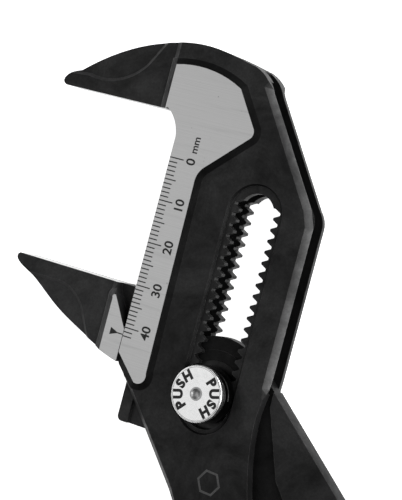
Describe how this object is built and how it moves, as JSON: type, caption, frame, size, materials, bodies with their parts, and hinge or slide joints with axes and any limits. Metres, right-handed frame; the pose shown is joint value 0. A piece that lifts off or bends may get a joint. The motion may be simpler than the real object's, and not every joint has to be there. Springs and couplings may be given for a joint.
{
  "type": "parallel jaw adjustable pliers",
  "caption": "Adjustable pliers with smooth parallel jaws, a toothed slot and a push-button lock, a millimetre scale on the fixed jaw and sleeved handles.",
  "frame": {"origin": "bottom centre of the bounding box, the tool lying flat on its back on its grips", "axes": "+Y along the slide towards the fixed jaw, +Z out of the face with the scale and the button, +X towards the outer edge"},
  "size_m": [0.1518, 0.1798, 0.0149],
  "materials": {
    "black_forging": "satin black oxide with ground steel lands",
    "grip_hard": "matte",
    "grip_soft": "matte",
    "plain_steel": "satin",
    "button_chrome": "bright"
  },
  "bodies": {
    "fixed_lever": {"fixed_jaw_lever": "black_forging", "fixed_grip_core": "grip_hard", "fixed_grip_pad": "grip_soft"},
    "carriage": {"pivot_bush": "plain_steel", "spring_washer": "plain_steel"},
    "squeeze_lever": {"moving_lever": "black_forging", "moving_grip_core": "grip_hard", "moving_grip_pad": "grip_soft"},
    "slide_jaw": {"sliding_jaw": "black_forging"},
    "lock_button": {"lock_bolt": "plain_steel", "push_button": "button_chrome", "button_rivet": "button_chrome", "button_spring": "plain_steel"}
  },
  "joints": [
    {"name": "jaw_adjust", "type": "slide", "parent": "fixed_lever", "child": "carriage", "axis": [0, 1, 0], "range_m": [0, 0.0375]},
    {"name": "handle_squeeze", "type": "hinge", "parent": "carriage", "child": "squeeze_lever", "pos_m": [-0.01738, 0.0147, 0.006], "axis": [0, 0, 1], "range_deg": [-13.5, 0]},
    {"name": "jaw_lift", "type": "slide", "parent": "carriage", "child": "slide_jaw", "axis": [0, 1, 0], "range_m": [0, 0.00354]},
    {"name": "button_push", "type": "slide", "parent": "carriage", "child": "lock_button", "axis": [0, 0, -1], "range_m": [0, 0.003], "stiffness_N_per_m": 1500, "springref_m": -0.001, "deforming": ["button_spring"]}
  ],
  "couplings": [
    {"joint": "jaw_lift", "follows": "handle_squeeze", "m_per_rad": -0.014965}
  ]
}
